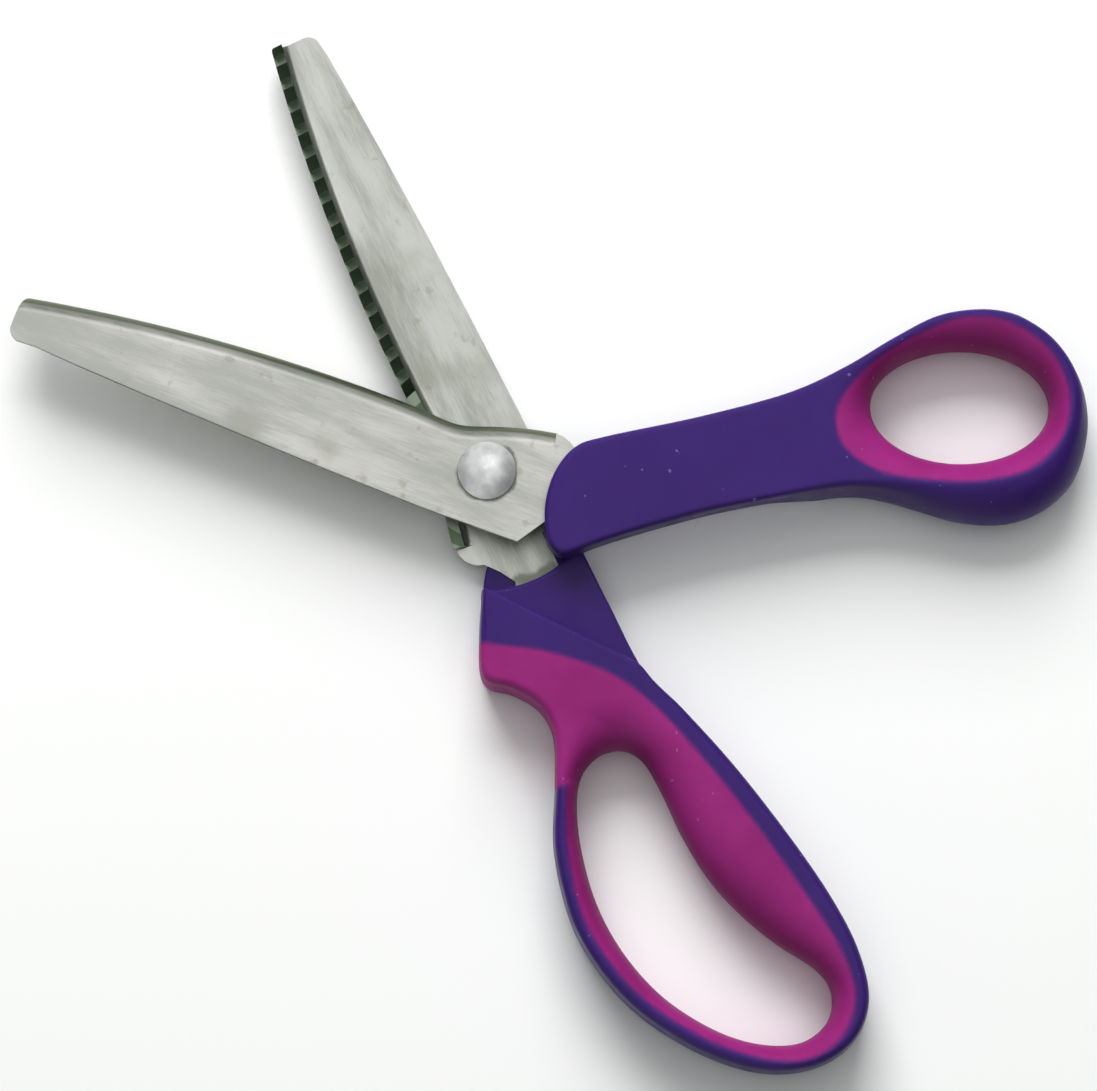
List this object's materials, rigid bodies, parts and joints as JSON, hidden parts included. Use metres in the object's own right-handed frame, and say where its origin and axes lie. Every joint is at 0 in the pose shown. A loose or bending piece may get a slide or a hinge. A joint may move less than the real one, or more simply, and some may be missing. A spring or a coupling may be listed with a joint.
{
  "type": "pinking shears",
  "caption": "Pinking shears with two toothed L-section steel blades on a screw pivot and offset loop handles with soft linings, shown part open.",
  "frame": {"origin": "on the pivot axis, at the plane that the shears lie on, which is the flat underside of the pivot screw and nut", "axes": "+Z along the pivot axis towards the screw head, +X along the fixed rear blade's line of cut towards its tip, +Y towards the side on which the front blade opens"},
  "size_m": [0.2336, 0.187, 0.016],
  "materials": {
    "blade_steel": "brushed, lightly spotted",
    "screw_steel": "satin",
    "bush_brass": "turned",
    "washer_nylon": "plain",
    "core_plastic": "fine moulded texture, purple",
    "grip_rubber": "soft touch, magenta"
  },
  "bodies": {
    "fixed_half": {"rear_blade": "blade_steel", "finger_handle": "core_plastic", "finger_grip": "grip_rubber", "pivot_screw": "screw_steel", "pivot_nut": "screw_steel", "spring_washer": "screw_steel", "spacer_bush": "bush_brass", "lower_washer": "washer_nylon", "upper_washer": "washer_nylon"},
    "moving_half": {"front_blade": "blade_steel", "thumb_handle": "core_plastic", "thumb_grip": "grip_rubber"}
  },
  "joints": [
    {"name": "pivot", "type": "hinge", "parent": "fixed_half", "child": "moving_half", "pos_m": [0, 0, 0.008], "axis": [0, 0, 1], "range_deg": [-44.2, 29.8]}
  ]
}
